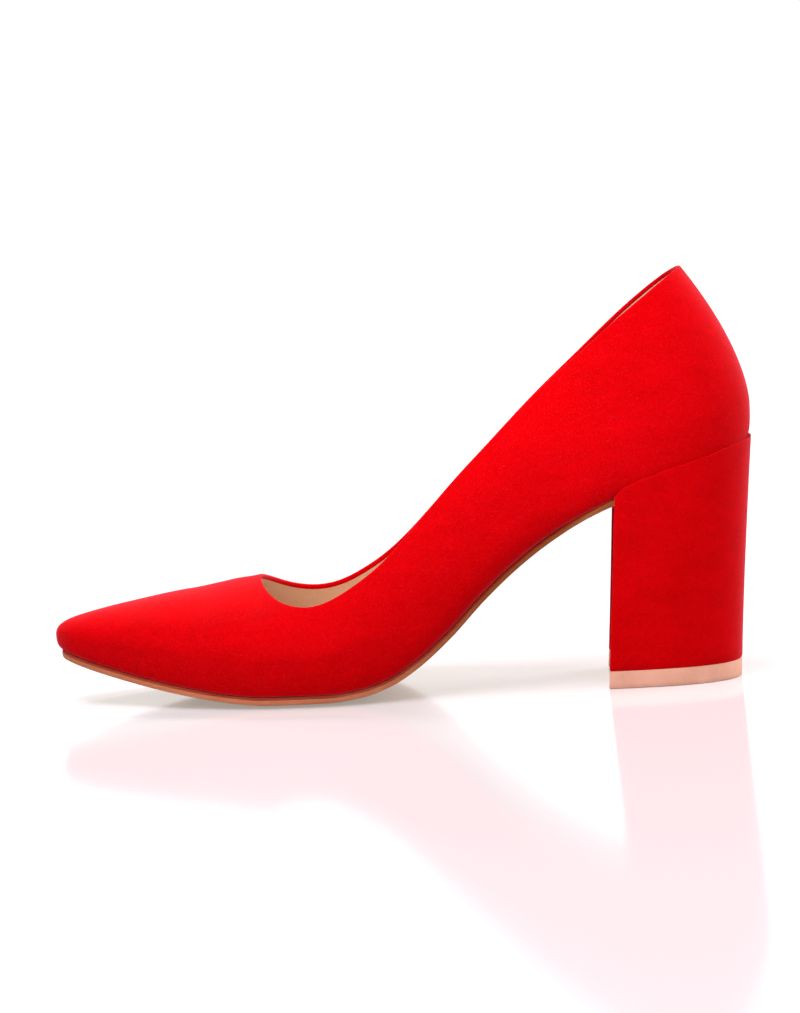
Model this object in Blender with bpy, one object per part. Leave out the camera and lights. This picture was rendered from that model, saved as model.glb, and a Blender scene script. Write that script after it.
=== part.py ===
# Women's block heel pump, right foot, EU 37: pointed toe, low round throat, covered block heel.
#
# Lengths are millimetres, and MM turns them into Blender's metres where a mesh is made.
# The toe points to -X, the back of the heel to +X, the inner side of the foot is -Y, the
# outer side is +Y, and the floor is Z = 0.
#
# The shoe is shaped on ribs, as a last is measured. A rib is a curve in an upright plane,
# from the underside of the shoe up its wall. Ribs fan round the toe, run side by side along
# the foot, and fan round the heel. Every piece takes its form from the same ribs.

import math

import bmesh
import bpy
import numpy as np

MM = 0.001
INNER, OUTER = -1, 1        # the two sides of the foot, as signs of Y

# Driving sizes
FEATHER_TOE_X = -111.0      # foremost point of the feather line, where upper meets sole
FEATHER_BACK_X = 110.0      # rearmost point of the feather line
PLAN_SHIFT_Y = -2.2         # puts the middle of the shoe's width over the origin
TOE_FAN_X = -97.0           # axis that the ribs of the toe fan round
HEEL_FAN_X = 70.0           # axis that the ribs of the heel fan round
THROAT_X = -45.5            # front of the foot opening
UPPER_WALL = 1.6            # suede and lining together
LASTING_MARGIN = 8.0        # part of the upper that is turned under the foot
FEATHER_ROLL = 2.0          # width over which the wall turns into the lasting margin
ROLL_SQUARENESS = 3.0       # 2 would roll the feather edge as an ellipse
GAP = 0.3                   # room left between neighbouring pieces
CUP_GAP = 0.4               # the same at the heel's curved cup
SOLE_FORE, SOLE_WAIST = 2.3, 1.8    # outsole thickness under the ball and under the arch
SOLE_THINS_X = (-10.0, 25.0)        # from where to where it thins
SOLE_INSET = 0.5            # outsole edge inside the feather line
SOLE_BEVEL = 0.5
SOLE_CROWN = 1.0            # how far the outsole's middle stands below its edge
CROWN_FLAT_SHARE = 0.5      # share of the half width that the crown leaves level
TREAD_FRONT_X, TREAD_BACK_X = -44.0, -24.0  # flat spot of the forefoot on the floor
TOE_SPRING = 13.6           # height of the outsole's tip
TOE_SPRING_POWER = 1.55
INSOLE_THICKNESS = 2.0
INSOLE_LOWER_INSET = 3.2    # insole edge inside the feather line, at its underside
INSOLE_UPPER_INSET = 1.9    # and at its top, where the wall has stood up
TOP_PIECE_HEIGHT = 5.6      # wearing layer under the heel
TOP_PIECE_BEVEL = 0.4
HEEL_LIP = 0.5              # thickness of the heel's rim where it laps the upper
RIM_LEAST_SHARE = 0.38      # share of the feather roll that the rim covers at the breast
HEEL_BASE_CENTRE_X = 66.0   # middle of the oval that shapes the heel at the floor
HEEL_BASE_BACK_X = 106.4    # back of the heel at the floor
HEEL_BASE_HALF_WIDTH = 23.5
HEEL_BASE_SQUARENESS = 2.7
HEEL_FLARE = 1.2            # above 1 the wall is steeper at the bottom than at the rim
BREAST_BASE_X = 62.5        # breast corners at the floor
BREAST_RAKE = 0.086         # metres back for each metre up
BREAST_HOLLOW = 4.0         # depth of the breast's hollow between its corners
BREAST_CORNER_Y = 28.0

# The foot's sections, front to back. feather is the half width of the underside, bulge is
# how far the wall stands out past it, at bulge_height over the underside. ridge is the
# height of the top of the form over the floor, a construction line behind the throat.
# rise and close shape the wall above the bulge: 2 and 2 make a round dome, 1 a straight lean.
SECTION_COLUMNS = ("x", "feather_in", "feather_out", "bulge_in", "bulge_out",
                   "bulge_height", "ridge", "rise", "close")
SECTIONS = (
    (-111.0, 0.0, 0.0, 1.3, 1.3, 4.4, 26.0, 2.0, 2.0),
    (-108.0, 6.4, 6.6, 1.3, 1.3, 4.8, 27.0, 2.0, 2.0),
    (-103.0, 10.6, 11.2, 1.4, 1.4, 5.8, 28.2, 2.0, 2.0),
    (-95.0, 15.0, 16.4, 1.6, 1.6, 7.2, 30.0, 2.0, 2.0),
    (-80.0, 22.0, 23.8, 1.9, 1.9, 9.2, 32.8, 2.0, 2.0),
    (-60.0, 29.8, 31.6, 2.2, 2.3, 10.6, 36.0, 1.95, 1.85),
    (-44.0, 34.0, 36.4, 2.4, 2.5, 11.4, 38.7, 1.85, 1.65),
    (-30.0, 35.0, 39.0, 2.5, 2.6, 12.0, 45.0, 1.6, 1.55),
    (-15.0, 33.2, 39.2, 2.9, 2.8, 13.2, 56.5, 1.6, 1.6),
    (0.0, 28.6, 36.8, 3.9, 3.2, 15.0, 72.0, 1.75, 1.7),
    (15.0, 23.4, 32.8, 6.2, 3.9, 17.5, 90.0, 1.85, 1.65),
    (30.0, 20.4, 29.0, 8.0, 4.6, 19.0, 110.0, 1.9, 1.6),
    (45.0, 20.6, 26.8, 7.6, 4.6, 18.0, 130.0, 1.85, 1.5),
    (60.0, 23.2, 26.0, 4.9, 3.9, 15.5, 148.0, 1.8, 1.35),
    (75.0, 24.6, 25.6, 3.2, 3.2, 13.5, 158.0, 1.75, 1.2),
    (90.0, 23.0, 23.6, 2.6, 2.6, 12.5, 161.0, 1.7, 1.1),
    (102.0, 17.4, 17.6, 2.4, 2.4, 12.2, 158.5, 1.65, 1.02),
    (107.0, 11.6, 11.7, 2.3, 2.3, 12.0, 156.8, 1.64, 1.0),
    (110.0, 0.0, 0.0, 2.3, 2.3, 12.0, 156.0, 1.63, 1.0),
)

# The middle of the outsole's underside from the tread back: arch, then the heel seat's slope.
ARCH_COLUMNS = ("x", "height")
ARCH = (
    (-40.0, 0.0), (-24.0, 0.0), (-13.0, 1.1), (-4.0, 3.8), (5.0, 9.0), (15.0, 17.2),
    (26.0, 28.3), (37.0, 38.0), (48.0, 46.1), (58.0, 52.0), (66.0, 55.8), (76.0, 59.6),
    (92.0, 64.8), (114.0, 71.4),
)

# The topline over the floor, on the inner and the outer side.
TOPLINE_COLUMNS = ("x", "inner", "outer")
TOPLINE = (
    (-45.5, 38.3, 38.3), (-44.0, 36.7, 36.7), (-42.0, 35.0, 35.0), (-39.0, 33.1, 33.0),
    (-35.0, 31.7, 31.4), (-30.0, 31.1, 30.5), (-25.0, 31.9, 30.8), (-20.0, 34.0, 32.3),
    (-14.0, 37.5, 35.3), (-7.0, 42.5, 39.8), (0.0, 49.0, 45.8), (10.0, 59.8, 56.0),
    (20.0, 70.4, 66.4), (30.0, 80.2, 76.4), (40.0, 90.0, 86.4), (50.0, 98.8, 95.8),
    (60.0, 107.0, 104.8), (70.0, 115.2, 114.0), (80.0, 122.7, 122.3), (86.0, 127.0, 126.8),
    (92.0, 130.9, 130.9), (112.0, 143.0, 143.0),
)

# The rim of the heel cover, seen from the side.
RIM_COLUMNS = ("x", "height")
RIM = (
    (50.0, 46.0), (62.0, 54.6), (66.5, 58.6), (69.5, 61.8), (73.0, 64.4), (78.0, 66.5),
    (92.0, 71.1), (102.0, 74.0), (114.0, 77.3),
)

TOE_FAN_STEPS = 6
HEEL_FAN_STEPS = 8
RIB_XS = (TOE_FAN_X, -93.0, -88.0, -82.0, -75.0, -68.0, -61.0, -54.0, -49.0, THROAT_X, -45.0,
          -44.0, -42.0, -39.0, -35.0, -30.0, -24.0, -17.0, -10.0, -3.0, 5.0, 13.0, 21.0,
          29.0, 37.0, 45.0, 53.0, 60.0, 65.0, 67.5)
MARGIN_STEPS, ROLL_STEPS, WALL_STEPS = 1, 5, 8      # faces up a rib of the upper
SOLE_END_X = 74.0           # plates and blocks before the breast is cut
HEEL_BLOCK_FRONT_X = 55.0
HEEL_WALL_STEPS = 4
TANGENT_STEP = 0.01         # share of the feather roll that gives the cup its direction
RIM_MOST_SHARE = 0.9        # the rim stays below the bulge of the wall
CUTTER_HALF_WIDTH = 45.0
CUTTER_TOP_Z = 95.0
CUTTER_FRONT_X, CUTTER_BACK_X = 0.0, 95.0   # ahead of the breast, and behind the outsole's end
CUTTER_STEPS = 18
SLOPE_STEP = 0.5            # a slope is measured this far to each side
SEARCH_REACH = 60.0         # past the feather line on every rib
SEARCH_STEPS = 40           # halvings, which find a crossing far below a micrometre
WALL_SAMPLES = 96           # points along a rib's wall, from which its even steps are taken
WELD_DIGITS = 3             # points that agree to a thousandth of a millimetre are one
SHARP_EDGE_ANGLE = math.radians(35)

# Colour and roughness of each material
RED_SUEDE = ((0.60, 0.004, 0.007), 0.9)
NUDE_LINING = ((0.80, 0.60, 0.45), 0.6)
TAN_LEATHER = ((0.62, 0.36, 0.22), 0.5)
PEACH_RUBBER = ((0.86, 0.42, 0.29), 0.55)


def column(table, names, name):
    return np.array([row[names.index(name)] for row in table], float)


def smooth_curve(xs, ys):
    """A curve through the rows with no break in its curvature, straight past its ends."""
    xs, ys = np.asarray(xs, float), np.asarray(ys, float)
    steps = np.diff(xs)
    slopes = np.diff(ys) / steps
    system, right = np.eye(len(xs)), np.zeros(len(xs))
    for i in range(1, len(xs) - 1):
        system[i, i - 1:i + 2] = steps[i - 1], 2 * (steps[i - 1] + steps[i]), steps[i]
        right[i] = 6 * (slopes[i] - slopes[i - 1])
    bends = np.linalg.solve(system, right)
    first_slope = slopes[0] - steps[0] * bends[1] / 6
    last_slope = slopes[-1] + steps[-1] * bends[-2] / 6

    def value(x):
        if x < xs[0]:
            return ys[0] + first_slope * (x - xs[0])
        if x > xs[-1]:
            return ys[-1] + last_slope * (x - xs[-1])
        i = min(max(int(np.searchsorted(xs, x)) - 1, 0), len(steps) - 1)
        a, b, h = xs[i + 1] - x, x - xs[i], steps[i]
        return ((bends[i] * a ** 3 + bends[i + 1] * b ** 3) / (6 * h)
                + (ys[i] / h - bends[i] * h / 6) * a
                + (ys[i + 1] / h - bends[i + 1] * h / 6) * b)

    return value


def steady_curve(xs, ys):
    """A curve through the rows that never overshoots them, straight past its ends."""
    xs, ys = np.asarray(xs, float), np.asarray(ys, float)
    steps = np.diff(xs)
    slopes = np.diff(ys) / steps
    tangents = np.zeros(len(xs))
    tangents[0], tangents[-1] = slopes[0], slopes[-1]
    for i in range(1, len(xs) - 1):
        before, after = slopes[i - 1], slopes[i]
        if before * after > 0:
            w_before = 2 * steps[i] + steps[i - 1]
            w_after = steps[i] + 2 * steps[i - 1]
            tangents[i] = (w_before + w_after) / (w_before / before + w_after / after)

    def value(x):
        if x < xs[0]:
            return ys[0] + tangents[0] * (x - xs[0])
        if x > xs[-1]:
            return ys[-1] + tangents[-1] * (x - xs[-1])
        i = min(max(int(np.searchsorted(xs, x)) - 1, 0), len(steps) - 1)
        t = (x - xs[i]) / steps[i]
        return ((1 + 2 * t) * (1 - t) ** 2 * ys[i] + t * (1 - t) ** 2 * steps[i] * tangents[i]
                + t * t * (3 - 2 * t) * ys[i + 1]
                + t * t * (t - 1) * steps[i] * tangents[i + 1])

    return value


def plan_angle(x):
    """Place along the feather line as an angle, which makes both ends of a plan round."""
    share = (x - FEATHER_TOE_X) / (FEATHER_BACK_X - FEATHER_TOE_X)
    return math.acos(1 - 2 * min(max(share, 0.0), 1.0))


SECTION_CURVES = {
    name: smooth_curve([plan_angle(row[0]) for row in SECTIONS],
                       column(SECTIONS, SECTION_COLUMNS, name))
    for name in SECTION_COLUMNS[1:]
}
ARCH_CURVE = steady_curve(*(column(ARCH, ARCH_COLUMNS, name) for name in ARCH_COLUMNS))
RIM_CURVE = steady_curve(*(column(RIM, RIM_COLUMNS, name) for name in RIM_COLUMNS))
TOPLINE_CURVES = {
    side: smooth_curve(column(TOPLINE, TOPLINE_COLUMNS, "x"),
                       column(TOPLINE, TOPLINE_COLUMNS, name))
    for side, name in ((INNER, "inner"), (OUTER, "outer"))
}


def section(name, x):
    return SECTION_CURVES[name](plan_angle(x))


def sided(name, side):
    return name + ("_in" if side == INNER else "_out")


def sole_underside(x):
    if x < TREAD_FRONT_X:
        share = (TREAD_FRONT_X - x) / (TREAD_FRONT_X - FEATHER_TOE_X)
        return TOE_SPRING * share ** TOE_SPRING_POWER
    return ARCH_CURVE(max(x, TREAD_BACK_X))


def above_underside(x, thickness):
    """Height at x of a layer over the sole's edge, measured square to the arch's slope."""
    rise = sole_underside(x + SLOPE_STEP) - sole_underside(x - SLOPE_STEP)
    slope = rise / (2 * SLOPE_STEP)
    return sole_underside(x) + SOLE_CROWN + thickness * math.hypot(1.0, slope)


def sole_thickness(x):
    start, end = SOLE_THINS_X
    share = min(max((x - start) / (end - start), 0.0), 1.0)
    return SOLE_FORE + (SOLE_WAIST - SOLE_FORE) * share * share * (3 - 2 * share)


def sole_top(x):
    return above_underside(x, sole_thickness(x))


def upper_underside(x):
    return above_underside(x, sole_thickness(x) + GAP)


def insole_underside(x):
    return above_underside(x, sole_thickness(x) + UPPER_WALL + 2 * GAP)


def insole_top(x):
    return above_underside(x, sole_thickness(x) + UPPER_WALL + 2 * GAP + INSOLE_THICKNESS)


def power_arc(share, squareness):
    """Cosine and sine of a superellipse's quarter turn, at a share of the turn."""
    turn = share * math.pi / 2
    return (max(math.cos(turn), 0.0) ** (2 / squareness),
            max(math.sin(turn), 0.0) ** (2 / squareness))


class Rib:
    """One upright plane through the shoe, from the axis of the plan out to one side."""

    def __init__(self, axis_x, turn, side):
        self.axis_x, self.turn, self.side = axis_x, turn, side
        lengthwise = math.sin(turn) * (-1 if axis_x <= TOE_FAN_X else 1)
        self.direction = (lengthwise, side * math.cos(turn))
        self.feather = self.feather_reach()
        x = self.x(self.feather)
        self.bulge_reach = self.feather + section(sided("bulge", side), x)
        self.bulge_height = section("bulge_height", x)
        self.rise, self.close = section("rise", x), section("close", x)
        if axis_x <= TOE_FAN_X:
            rise = (section("ridge", TOE_FAN_X + SLOPE_STEP)
                    - section("ridge", TOE_FAN_X - SLOPE_STEP))
            self.ridge = section("ridge", TOE_FAN_X)
            self.fall = rise / (2 * SLOPE_STEP) * math.sin(turn)
        else:
            self.ridge, self.fall = section("ridge", x), 0.0

    def x(self, reach):
        return self.axis_x + reach * self.direction[0]

    def place(self, reach, height):
        """A point of the rib's plane in the shoe's frame, in millimetres."""
        return (self.x(reach), reach * self.direction[1], height)

    def is_open(self):
        return self.axis_x > THROAT_X

    def feather_reach(self):
        near, far = 0.0, SEARCH_REACH
        for _ in range(SEARCH_STEPS):
            reach = (near + far) / 2
            x, y, _ = self.place(reach, 0.0)
            on_plan = FEATHER_TOE_X < x < FEATHER_BACK_X
            if on_plan and abs(y) < section(sided("feather", self.side), x):
                near = reach
            else:
                far = reach
        return near

    def roll_point(self, share):
        """The low part of the wall: round the feather edge and out to the bulge."""
        start = self.feather - FEATHER_ROLL
        cosine, sine = power_arc(share, ROLL_SQUARENESS)
        reach = start + (self.bulge_reach - start) * sine
        return reach, upper_underside(self.x(reach)) + self.bulge_height * (1 - cosine)

    def wall_point(self, share):
        """The high part of the wall: from the bulge up towards the ridge."""
        turn = share * math.pi / 2
        reach = self.bulge_reach * max(math.cos(turn), 0.0) ** (2 / self.close)
        start = upper_underside(self.x(self.bulge_reach)) + self.bulge_height
        height = start + (self.ridge - start) * math.sin(turn) ** (2 / self.rise)
        return reach, height - self.fall * reach * (1 - reach / self.bulge_reach)

    def topline_share(self):
        """How far up the high wall the opening's edge lies, 1 at the ridge."""
        if not self.is_open():
            return 1.0
        near, far = 0.0, 1.0
        for _ in range(SEARCH_STEPS):
            share = (near + far) / 2
            reach, height = self.wall_point(share)
            if height < TOPLINE_CURVES[self.side](self.x(reach)):
                near = share
            else:
                far = share
        return near

    def rim_share(self):
        """How far up the low wall the heel's rim lies."""
        near, far = RIM_LEAST_SHARE, RIM_MOST_SHARE
        for _ in range(SEARCH_STEPS):
            share = (near + far) / 2
            reach, height = self.roll_point(share)
            if height < RIM_CURVE(self.x(reach)):
                near = share
            else:
                far = share
        return near


def evenly_spaced(points, count):
    """Points at equal steps along a dense polyline."""
    points = np.array(points)
    lengths = np.concatenate([[0.0], np.cumsum(np.linalg.norm(np.diff(points, axis=0), axis=1))])
    places = np.linspace(0.0, lengths[-1], count + 1)
    return [tuple(np.interp(place, lengths, points[:, axis]) for axis in (0, 1))
            for place in places]


def upper_rib(rib):
    """The upper's outer face on a rib, from the margin's inner edge to topline or ridge."""
    margin = np.linspace(rib.feather - LASTING_MARGIN, rib.feather - FEATHER_ROLL,
                         MARGIN_STEPS + 1)[:-1]
    points = [(reach, upper_underside(rib.x(reach))) for reach in margin]
    points += [rib.roll_point(i / ROLL_STEPS) for i in range(ROLL_STEPS)]
    top = rib.topline_share()
    wall = [rib.wall_point(top * i / WALL_SAMPLES) for i in range(WALL_SAMPLES + 1)]
    points += evenly_spaced(wall, WALL_STEPS)
    return [rib.place(*point) for point in points]


def stations(first_x=None, last_x=None):
    """Plan places of the ribs from the tip of the toe to the back seam, as axis and turn."""
    places = []
    if first_x is None:
        places += [(TOE_FAN_X, math.pi / 2 * (1 - i / TOE_FAN_STEPS))
                   for i in range(TOE_FAN_STEPS)]
    places += [(x, 0.0) for x in RIB_XS
               if (first_x is None or x > first_x) and (last_x is None or x < last_x)]
    if last_x is None:
        places += [(HEEL_FAN_X, math.pi / 2 * i / HEEL_FAN_STEPS)
                   for i in range(HEEL_FAN_STEPS + 1)]
    return places


def ribs_round(places, closed_back):
    """Ribs from the back of the inner side round the toe, or from front to front."""
    inner = [Rib(axis_x, turn, INNER) for axis_x, turn in reversed(places)]
    outer = [Rib(axis_x, turn, OUTER) for axis_x, turn in places]
    return inner + (outer[1:-1] if closed_back else outer[1:])


class Skin:
    """A mesh under construction, in which points that coincide are one vertex."""

    def __init__(self):
        self.mesh, self.known = bmesh.new(), {}

    def vertex(self, point):
        key = tuple(round(value, WELD_DIGITS) for value in point)
        if key not in self.known:
            x, y, z = point
            self.known[key] = self.mesh.verts.new((x * MM, (y + PLAN_SHIFT_Y) * MM, z * MM))
        return self.known[key]

    def face(self, points):
        corners = []
        for point in points:
            corner = self.vertex(point)
            if corner not in corners:
                corners.append(corner)
        if len(corners) > 2 and self.mesh.faces.get(corners) is None:
            self.mesh.faces.new(corners)

    def strips(self, rows, closed):
        """Faces between neighbouring rows of points, and from the last row to the first."""
        pairs = list(zip(rows, rows[1:] + rows[:1] if closed else rows[1:]))
        for here, there in pairs:
            for k in range(len(here) - 1):
                self.face((here[k], here[k + 1], there[k + 1], there[k]))

    def thicken(self, wall):
        """Adds an inner face at a wall's thickness, and joins the two along their edges."""
        outside = list(self.mesh.faces)
        borders = [loop for face in outside for loop in face.loops if loop.edge.is_boundary]
        self.mesh.normal_update()
        inside = {vertex: self.mesh.verts.new(vertex.co - vertex.normal * wall * MM)
                  for vertex in list(self.mesh.verts)}
        edges = [(loop.vert, loop.link_loop_next.vert) for loop in borders]
        for face in outside:
            self.mesh.faces.new([inside[vertex] for vertex in reversed(face.verts)])
        for start, end in edges:
            self.mesh.faces.new((end, start, inside[start], inside[end]))

    def to_object(self, name, material):
        bmesh.ops.recalc_face_normals(self.mesh, faces=self.mesh.faces)
        data = bpy.data.meshes.new(name)
        self.mesh.to_mesh(data)
        self.mesh.free()
        piece = bpy.data.objects.new(name, data)
        bpy.context.scene.collection.objects.link(piece)
        if material:
            data.materials.append(material)
            data.shade_smooth()
            data.set_sharp_from_angle(angle=SHARP_EDGE_ANGLE)
        return piece


def finish(name, colour, roughness):
    material = bpy.data.materials.new(name)
    material.use_nodes = True
    shader = material.node_tree.nodes["Principled BSDF"]
    shader.inputs["Base Color"].default_value = (*colour, 1.0)
    shader.inputs["Roughness"].default_value = roughness
    shader.inputs["Metallic"].default_value = 0.0
    material.diffuse_color = (*colour, 1.0)
    return material


def outsole_rib(rib):
    """The outsole's section on a rib: out along its underside, up its edge, back on top."""
    edge = rib.feather - SOLE_INSET
    flat = CROWN_FLAT_SHARE * edge
    points = [(0.0, sole_underside, 0.0), (flat, sole_underside, 0.0),
              (edge - SOLE_BEVEL, sole_underside, SOLE_CROWN),
              (edge, sole_underside, SOLE_CROWN + SOLE_BEVEL),
              (edge, sole_top, -SOLE_BEVEL / 2), (edge - SOLE_BEVEL / 2, sole_top, 0.0),
              (flat, sole_top, 0.0), (0.0, sole_top, 0.0)]
    return [rib.place(reach, height(rib.x(reach)) + lift) for reach, height, lift in points]


def insole_rib(rib):
    low_edge, high_edge = rib.feather - INSOLE_LOWER_INSET, rib.feather - INSOLE_UPPER_INSET
    points = [(0.0, insole_underside), (low_edge / 2, insole_underside),
              (low_edge, insole_underside), (high_edge, insole_top),
              (high_edge / 2, insole_top), (0.0, insole_top)]
    return [rib.place(reach, height(rib.x(reach))) for reach, height in points]


def breast_x(y, z):
    """The heel's hollow front face."""
    hollow = BREAST_HOLLOW * (1 - (y / BREAST_CORNER_Y) ** 2)
    return BREAST_BASE_X + BREAST_RAKE * z + hollow


def breast_cutter(name, far_x, shift=0.0):
    """Everything from the breast's surface, moved by shift, to an upright plane at far_x."""
    rows = []
    for i in range(CUTTER_STEPS + 1):
        y = CUTTER_HALF_WIDTH * (2 * i / CUTTER_STEPS - 1)
        rows.append([(far_x, y, -GAP), (breast_x(y, -GAP) + shift, y, -GAP),
                     (breast_x(y, CUTTER_TOP_Z) + shift, y, CUTTER_TOP_Z),
                     (far_x, y, CUTTER_TOP_Z), (far_x, y, -GAP)])
    skin = Skin()
    skin.strips(rows, closed=False)
    skin.face(rows[0][:-1])
    skin.face(rows[-1][:-1])
    cutter = skin.to_object(name, None)
    cutter.hide_render = True
    cutter.display_type = "WIRE"
    return cutter


def cut_away(piece, cutter):
    cut = piece.modifiers.new("breast", "BOOLEAN")
    cut.operation = "DIFFERENCE"
    cut.solver = "EXACT"
    cut.object = cutter


def heel_base_point(rib):
    """Where a rib of the heel comes down on the floor, in plan."""
    cosine, sine = power_arc(rib.turn / (math.pi / 2), HEEL_BASE_SQUARENESS)
    length = HEEL_BASE_BACK_X - HEEL_BASE_CENTRE_X
    x = HEEL_BASE_CENTRE_X + length * sine + (rib.axis_x - HEEL_FAN_X)
    return x, rib.side * HEEL_BASE_HALF_WIDTH * cosine


def beside_roll(rib, share, distance):
    """A point at a distance from the low part of the upper's wall."""
    reach, height = rib.roll_point(share)
    ahead, above = rib.roll_point(share + TANGENT_STEP)
    run, climb = ahead - reach, above - height
    length = math.hypot(run, climb)
    return rib.place(reach + distance * climb / length, height - distance * run / length)


def heel_rim_point(rib):
    """Outer edge of the heel's rim on a rib."""
    return beside_roll(rib, rib.rim_share(), CUP_GAP + HEEL_LIP)


def heel_side_point(rib, height):
    """A point of the heel's wall at a height over the floor."""
    base_x, base_y = heel_base_point(rib)
    rim_x, rim_y, rim_z = heel_rim_point(rib)
    share = (height / rim_z) ** HEEL_FLARE
    return (base_x + (rim_x - base_x) * share, base_y + (rim_y - base_y) * share, height)


def cup_points(rib):
    """The heel seat on a rib: flat under the foot, then up round the feather edge."""
    rim = rib.rim_share()
    seat = [rib.place(reach, sole_top(rib.x(reach)))
            for reach in (0.0, (rib.feather - FEATHER_ROLL) / 2)]
    return seat + [beside_roll(rib, min(i / ROLL_STEPS, rim), CUP_GAP)
                   for i in range(ROLL_STEPS)]


def heel_rib(rib):
    """The heel's section on a rib: down its wall from the rim, and across its seat."""
    rim = heel_rim_point(rib)
    foot = TOP_PIECE_HEIGHT + GAP
    wall = [heel_side_point(rib, foot + (rim[2] - foot) * i / HEEL_WALL_STEPS)
            for i in range(HEEL_WALL_STEPS)]
    return wall + [rim] + cup_points(rib)[::-1]


def top_piece_rib(rib):
    base_x, base_y = heel_base_point(rib)
    low = heel_side_point(rib, TOP_PIECE_BEVEL)
    inset = 1 - TOP_PIECE_BEVEL / HEEL_BASE_HALF_WIDTH
    sole = (HEEL_BASE_CENTRE_X + (base_x - HEEL_BASE_CENTRE_X) * inset, base_y * inset, 0.0)
    return [sole, low, heel_side_point(rib, TOP_PIECE_HEIGHT)]


def build_upper(material):
    skin = Skin()
    skin.strips([upper_rib(rib) for rib in ribs_round(stations(), True)], closed=True)
    skin.thicken(UPPER_WALL)
    return skin.to_object("upper", material)


def build_insole(material):
    skin = Skin()
    skin.strips([insole_rib(rib) for rib in ribs_round(stations(), True)], closed=True)
    return skin.to_object("insole", material)


def build_outsole(material):
    skin = Skin()
    places = stations(last_x=SOLE_END_X) + [(SOLE_END_X, 0.0)]
    rows = [outsole_rib(rib) for rib in ribs_round(places, False)]
    skin.strips(rows, closed=False)
    skin.face(rows[0] + rows[-1][::-1])
    outsole = skin.to_object("outsole", material)
    cut_away(outsole, breast_cutter("behind_breast", CUTTER_BACK_X, -GAP))
    return outsole


def heel_ribs():
    places = [(HEEL_BLOCK_FRONT_X, 0.0)] + stations(first_x=HEEL_BLOCK_FRONT_X)
    inner = [Rib(axis_x, turn, INNER) for axis_x, turn in places]
    outer = [Rib(axis_x, turn, OUTER) for axis_x, turn in reversed(places)]
    return inner + outer[1:]


def build_heel(material, cutter):
    skin = Skin()
    rows = [heel_rib(rib) for rib in heel_ribs()]
    skin.strips(rows, closed=False)
    skin.face([row[0] for row in rows])
    skin.face(rows[0] + rows[-1][::-1])
    heel = skin.to_object("heel", material)
    cut_away(heel, cutter)
    return heel


def build_top_piece(material, cutter):
    skin = Skin()
    rows = [top_piece_rib(rib) for rib in heel_ribs()]
    skin.strips(rows, closed=False)
    skin.face([row[0] for row in rows])
    skin.face([row[-1] for row in rows])
    skin.face(rows[0] + rows[-1][::-1])
    top_piece = skin.to_object("top_piece", material)
    cut_away(top_piece, cutter)
    return top_piece


def main():
    for item in list(bpy.data.objects):
        bpy.data.objects.remove(item, do_unlink=True)
    suede = finish("red_suede", *RED_SUEDE)
    build_upper(suede)
    build_insole(finish("nude_lining", *NUDE_LINING))
    build_outsole(finish("tan_leather", *TAN_LEATHER))
    ahead_of_breast = breast_cutter("ahead_of_breast", CUTTER_FRONT_X)
    build_heel(suede, ahead_of_breast)
    build_top_piece(finish("peach_rubber", *PEACH_RUBBER), ahead_of_breast)


main()
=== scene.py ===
# Red suede block heel pump, right foot: every surface of it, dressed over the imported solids.
# Shapes are worked out in millimetres in the solids' own frame, toe to -X, inner side -Y.
import math

import bmesh
import bpy
import numpy as np
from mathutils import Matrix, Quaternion, Vector


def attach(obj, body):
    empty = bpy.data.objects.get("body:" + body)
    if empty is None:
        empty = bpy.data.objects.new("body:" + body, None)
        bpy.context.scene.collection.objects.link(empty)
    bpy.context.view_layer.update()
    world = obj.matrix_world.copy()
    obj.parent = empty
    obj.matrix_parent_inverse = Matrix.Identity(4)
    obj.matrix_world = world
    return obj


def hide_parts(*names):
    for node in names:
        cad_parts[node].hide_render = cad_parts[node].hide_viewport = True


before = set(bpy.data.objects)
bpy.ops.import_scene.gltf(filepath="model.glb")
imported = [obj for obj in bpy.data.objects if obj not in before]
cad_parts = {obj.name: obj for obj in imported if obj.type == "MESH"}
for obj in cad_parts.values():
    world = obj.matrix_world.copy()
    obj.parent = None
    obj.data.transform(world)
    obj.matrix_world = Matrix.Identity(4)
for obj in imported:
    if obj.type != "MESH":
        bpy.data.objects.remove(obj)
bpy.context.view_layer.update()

mm = 0.001
quarterTurn = math.pi / 2
inner, outer, both = -1, 1, 0  # sides of the foot
halvings = 36  # steps of a search for a crossing
searchReach = 60.0  # mm from a rib's axis, past the feather line on every rib
slopeStep = 0.5  # mm to each side of the place where a slope is measured
shareStep = 0.01  # the same along a curve that runs from 0 to 1
weldSteps = 2000  # points nearer than 1/2000 mm are one vertex
samePlace = 0.001  # mm, steps along an edge that are shorter count as none
tiny = 1e-6

# The last: the form that every piece is shaped on

last = {
    "toeX": -111.0, "backX": 110.0,  # ends of the feather line, where upper meets sole
    "shiftY": -2.2,  # from the last's middle line to the frame's
    "toeFanX": -97.0, "heelFanX": 70.0,  # axes that the ribs of toe and heel fan round
    "throatX": -45.5,
    "margin": 8.0,  # upper turned under the foot
    "roll": 2.0, "rollSquareness": 3.0,  # how the wall turns in at the feather line
    "upperWall": 1.6, "gap": 0.3,
    "soleFore": 2.3, "soleWaist": 1.8, "soleThins": (-10.0, 25.0),
    "crown": 1.0,  # middle of the outsole below its edge
    "tread": (-44.0, -24.0),  # flat spot on the floor
    "toeSpring": 13.6, "springPower": 1.55,
    "insole": 2.0,
}

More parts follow.
